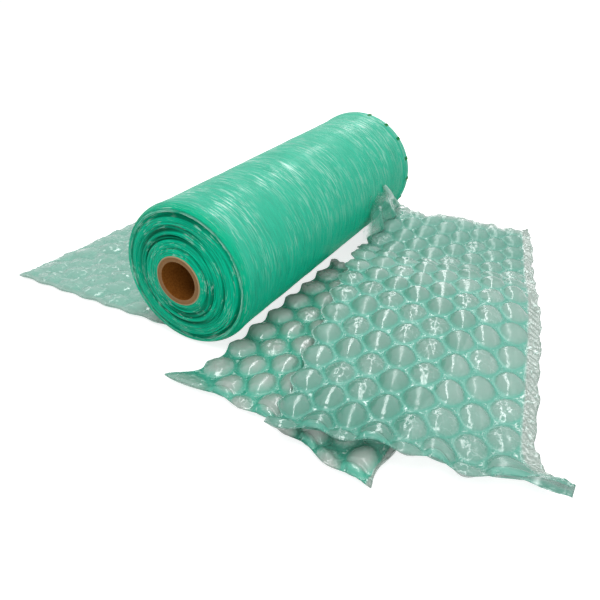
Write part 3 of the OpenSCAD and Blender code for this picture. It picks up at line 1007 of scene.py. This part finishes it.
def core_tube(around=128):
    """A lathe surface: out over the near rim, back along the outside, in over the far rim and
    along the bore, where it closes on itself."""
    corner = np.linspace(0, np.pi / 2, 5)
    near, far = core_low.y, core_high.y
    inner, drop = 1 - np.sin(corner)[::-1], 1 - np.cos(corner)
    rim_r = np.concatenate([BORE_R + CORNER_R * inner, [CORE_R - RIM_BAND],
                            CORE_R - CORNER_R * (1 - np.sin(corner))])
    rim_y = np.concatenate([near + CORNER_R * drop[::-1], [near], near + CORNER_R * drop])
    r = np.concatenate([rim_r, rim_r[::-1]])[:, None]
    y = np.concatenate([rim_y, far + near - rim_y[::-1]])[:, None]
    angle = np.linspace(0, 2 * np.pi, around, endpoint=False)
    x, z = r * np.cos(angle), AXIS_Z + r * np.sin(angle)
    points = np.stack([x, y + 0 * x, z], axis=-1).reshape(-1, 3)
    first = np.arange(around)
    last = (len(r) - 1) * around + first
    join = np.stack([last, first, np.roll(first, -1), np.roll(last, -1)], axis=1)
    faces = np.concatenate([cells(len(r), around, wrap=True), join])
    edge = np.array(PALE_ENDS_AND_RIM_HIGHLIGHT + PALE_ENDS_AND_RIM_HIGHLIGHT[::-1])[:, None] + 0 * x
    print(f"core_tube: {2 * len(faces)} triangles")
    return mesh_piece("core_tube", points, faces, None, {"edge": edge})


def card_material():
    """Brown card with a fine grain, paler where the edge mask is 1, a painted highlight on the outer
    rim.
    """
    m, n, l, card = new_material("core_card")
    grain = noise_of(n, l, add(n, "ShaderNodeTexCoord").outputs["Object"], 420, 5)
    tint = add(n, "ShaderNodeValToRGB")
    l.new(grain, tint.inputs[0])
    for stop, at, colour in zip(tint.color_ramp.elements, (0.3, 0.75),
                                ((0.15, 0.045, 0.004, 1), (0.26, 0.095, 0.014, 1))):
        stop.position, stop.color = at, colour
    # Pale colour on the ends, and a painted highlight on the outer rim.
    paled = blend(n, l, mark_of(n, "edge"), tint.outputs[0], (0.42, 0.33, 0.20, 1))
    l.new(paled, card.inputs["Base Color"])
    l.new(bump_of(n, l, grain, 0.5, 0.4 * MM), card.inputs["Normal"])
    card.inputs["Roughness"].default_value = 0.85
    card.inputs["Specular IOR Level"].default_value = 0.1
    return m


core = core_tube()
core.data.materials.append(card_material())

# %% [markdown]
# ## The leader
#
# At the far end the outer turn comes away from the roll and runs down to the top sheet. A flap
# of the roll's own surface couldn't hang free. So it is worked out round the roll's axis, from
# the line where it leaves the roll to a foot inside the sheet's edge. On the roll it is too
# clear to see, it fades in towards its foot, and its far edge is painted pale, a painted
# highlight along the cut edge.

# %% Leader
FOOT_RUN, FOOT_BACK, FOOT_IN, FOOT_UP = 165 * MM, 8 * MM, 7 * MM, 4 * MM
LEAVE_Y, LEAVE_LONG, LEAVE_LOW = 70 * MM, 78 * MM, math.radians(7)
LEADER_T = 0.5 * MM


def leader(steps=64):
    """A closed skin between the line where the film leaves the roll and the sheet's edge. Taut
    film leaves a roll along a tangent, so from a foot at the distance d and the angle t round
    the axis, it meets the roll at t + acos(r / d)."""
    a, b = np.meshgrid(np.linspace(0, 1, steps), np.linspace(0, 1, steps), indexing="ij")
    foot_u = TOP_LEN - FOOT_BACK - FOOT_RUN * (1 - a)
    foot_x, foot_y, foot_z = top_place(foot_u, np.full_like(a, FOOT_IN))
    foot_up = foot_z + FOOT_UP - AXIS_Z
    from_r = ROLL_R + GAP
    meets = np.arccos(np.clip(from_r / np.hypot(foot_x, foot_up), 0, 1))
    high = np.maximum(np.arctan2(foot_up, foot_x) + meets, LEAVE_LOW)
    from_y = LEAVE_Y + LEAVE_LONG * a
    x = from_r * np.cos(high) + (foot_x - from_r * np.cos(high)) * b
    up = from_r * np.sin(high) + (foot_up - from_r * np.sin(high)) * b
    y = from_y + (foot_y - from_y) * b
    wave = 1.1 * MM * noise(6 * a, 4 * b, 61) + 0.6 * MM * noise(14 * a + 3 * b, 5 * b, 62)
    apart = np.hypot(x, up)
    r = np.maximum(apart + wave * np.sin(np.pi * b), from_r)
    outer, inner = (np.stack([(r + t) * x / apart, y, AXIS_Z + (r + t) * up / apart], axis=-1)
                    for t in (LEADER_T, 0.0))
    shown = np.maximum(ease(b / 0.55) * ease(a / 0.5), ease((a - 0.78) / 0.2))
    # The far edge takes the pale weld colour: a painted highlight on the cut edge.
    painted_edge_highlight = ease((a - 0.955) / 0.03)
    masks = (painted_edge_highlight, shown, 0.28 * shown * ease(b / 0.6), 0 * a, 0 * a, 0.5 + 0 * a)
    uv = np.stack([a * 0.15, b * 0.1], axis=-1)
    return closed_skin("leader_film", outer, inner, uv, dict(zip(MASKS, masks)))


lead = leader()
lead.data.materials.append(LEADER)

# %% [markdown]
# ## What each piece stands for
#
# Every piece rides on the roll's one body. The film pieces take the place of the plain measured
# solids.

# %% Attach the pieces
for piece, node, finish in [
    (turns, "film_roll", "wound_film"),
    (marks, "film_roll", "wound_film"),
    (core, "core", "core_card"),
    (free_film, "free_end", "slack_film"),
    (low_quilt, "lower_sheet", "inflated_film"),
    (top_quilt, "top_sheet", "inflated_film"),
    (lead, "top_sheet", "inflated_film"),
]:
    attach(piece, "root")
    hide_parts(node)
    print(f"{piece.name} replaces {node}, with the finish {finish}")

# %% [markdown]
# ## Floor, light and camera
#
# The floor and the world look white to the camera and to reflections, as in the photograph,
# while the light that falls on the film stays plain. Four strip lamps on an arc behind the
# film, from low to overhead, give each bubble its streaks. One large bulb would only give it a
# spot. A large weak lamp lights the near end.

# %% Floor
FLOOR, FLOOR_DOWN = 6.0, 0.3 * MM
FLOOR_GREY, FLOOR_LIGHT = (0.55, 0.55, 0.55, 1), 0.75
WHITE = (1, 1, 1, 1)


def seen_by(n, l, kinds):
    """1 for rays of any of these kinds, else 0."""
    path = add(n, "ShaderNodeLightPath")
    seen = path.outputs[kinds[0]]
    for kind in kinds[1:]:
        seen = maths(n, l, "MAXIMUM", seen, path.outputs[kind])
    return seen


SEEING = ("Is Camera Ray", "Is Glossy Ray", "Is Transmission Ray")


def seen_white(name):
    """A pale matt floor that adds its own light for camera, glossy and transmitted rays."""
    m, n, l, pale = new_material(name)
    pale.inputs["Base Color"].default_value = FLOOR_GREY
    pale.inputs["Roughness"].default_value = 1.0
    pale.inputs["Specular IOR Level"].default_value = 0.0
    pale.inputs["Emission Color"].default_value = WHITE
    l.new(times(n, l, seen_by(n, l, SEEING), FLOOR_LIGHT), pale.inputs["Emission Strength"])
    return m


floor_mesh = bpy.data.meshes.new("floor")
floor_corners = [(x * FLOOR, y * FLOOR, 0) for x, y in ((-1, -1), (1, -1), (1, 1), (-1, 1))]
floor_mesh.from_pydata(floor_corners, [], [(0, 1, 2, 3)])
floor = bpy.data.objects.new("floor", floor_mesh)
bpy.context.collection.objects.link(floor)
floor.location.z = -FLOOR_DOWN
floor.data.materials.append(seen_white("floor_white"))

# %% World and lamps
world = bpy.data.worlds.new("studio")
bpy.context.scene.world = world
world.use_nodes = True
wn, wl = world.node_tree.nodes, world.node_tree.links
sky = wn["Background"]
sky.inputs["Color"].default_value = WHITE
wl.new(ramp(wn, wl, seen_by(wn, wl, SEEING), 0.0, 1.0, 0.5, 1.0), sky.inputs["Strength"])


def lamp(name, place, aim, size, radiance):
    """A rectangular lamp of a given radiance, turned to face the point it is aimed at."""
    data = bpy.data.lights.new(name, "AREA")
    data.shape = "RECTANGLE"
    data.size, data.size_y = size
    data.energy = radiance * math.pi * size[0] * size[1]
    shine = bpy.data.objects.new(name, data)
    bpy.context.collection.objects.link(shine)
    shine.location = place
    back = (shine.location - Vector(aim)).normalized()
    shine.rotation_euler = back.to_track_quat("Z", "Y").to_euler()
    shine.visible_camera = False
    print(f"lamp {name}: {data.energy:.1f} W")
    return shine


AIM = Vector((0.2, -0.1, 0.0))
STRIP_WAY, STRIP_FAR, STRIP_SIZE = math.radians(108), 2.0, (0.36, 1.08)
flat_way = Vector((math.cos(STRIP_WAY), math.sin(STRIP_WAY), 0))
for high, bright in ((17, 2.5), (48, 5.0), (79, 8.0), (110, 8.0)):
    up = math.radians(high)
    spot = AIM + STRIP_FAR * (flat_way * math.cos(up) + Vector((0, 0, math.sin(up))))
    lamp(f"strip_{high}", spot, AIM, STRIP_SIZE, bright)
lamp("front", (1.3, -1.5, 0.7), (0.1, 0.0, 0.05), (1.6, 1.2), 2.0)

# %% Camera
camera = bpy.data.objects.new("camera", bpy.data.cameras.new("camera"))
bpy.context.collection.objects.link(camera)
camera.location = (0.4890, -0.8059, 0.4800)
camera.rotation_mode = "QUATERNION"
camera.rotation_quaternion = Vector((-0.435, 0.749, -0.499)).to_track_quat("-Z", "Y")
camera.data.lens = 40.0
camera.data.sensor_width = 36.0
bpy.context.scene.camera = camera
bpy.context.scene.view_settings.view_transform = "Standard"
print(f"camera {camera.location.length:.2f} m from the origin, lens {camera.data.lens:.0f} mm")
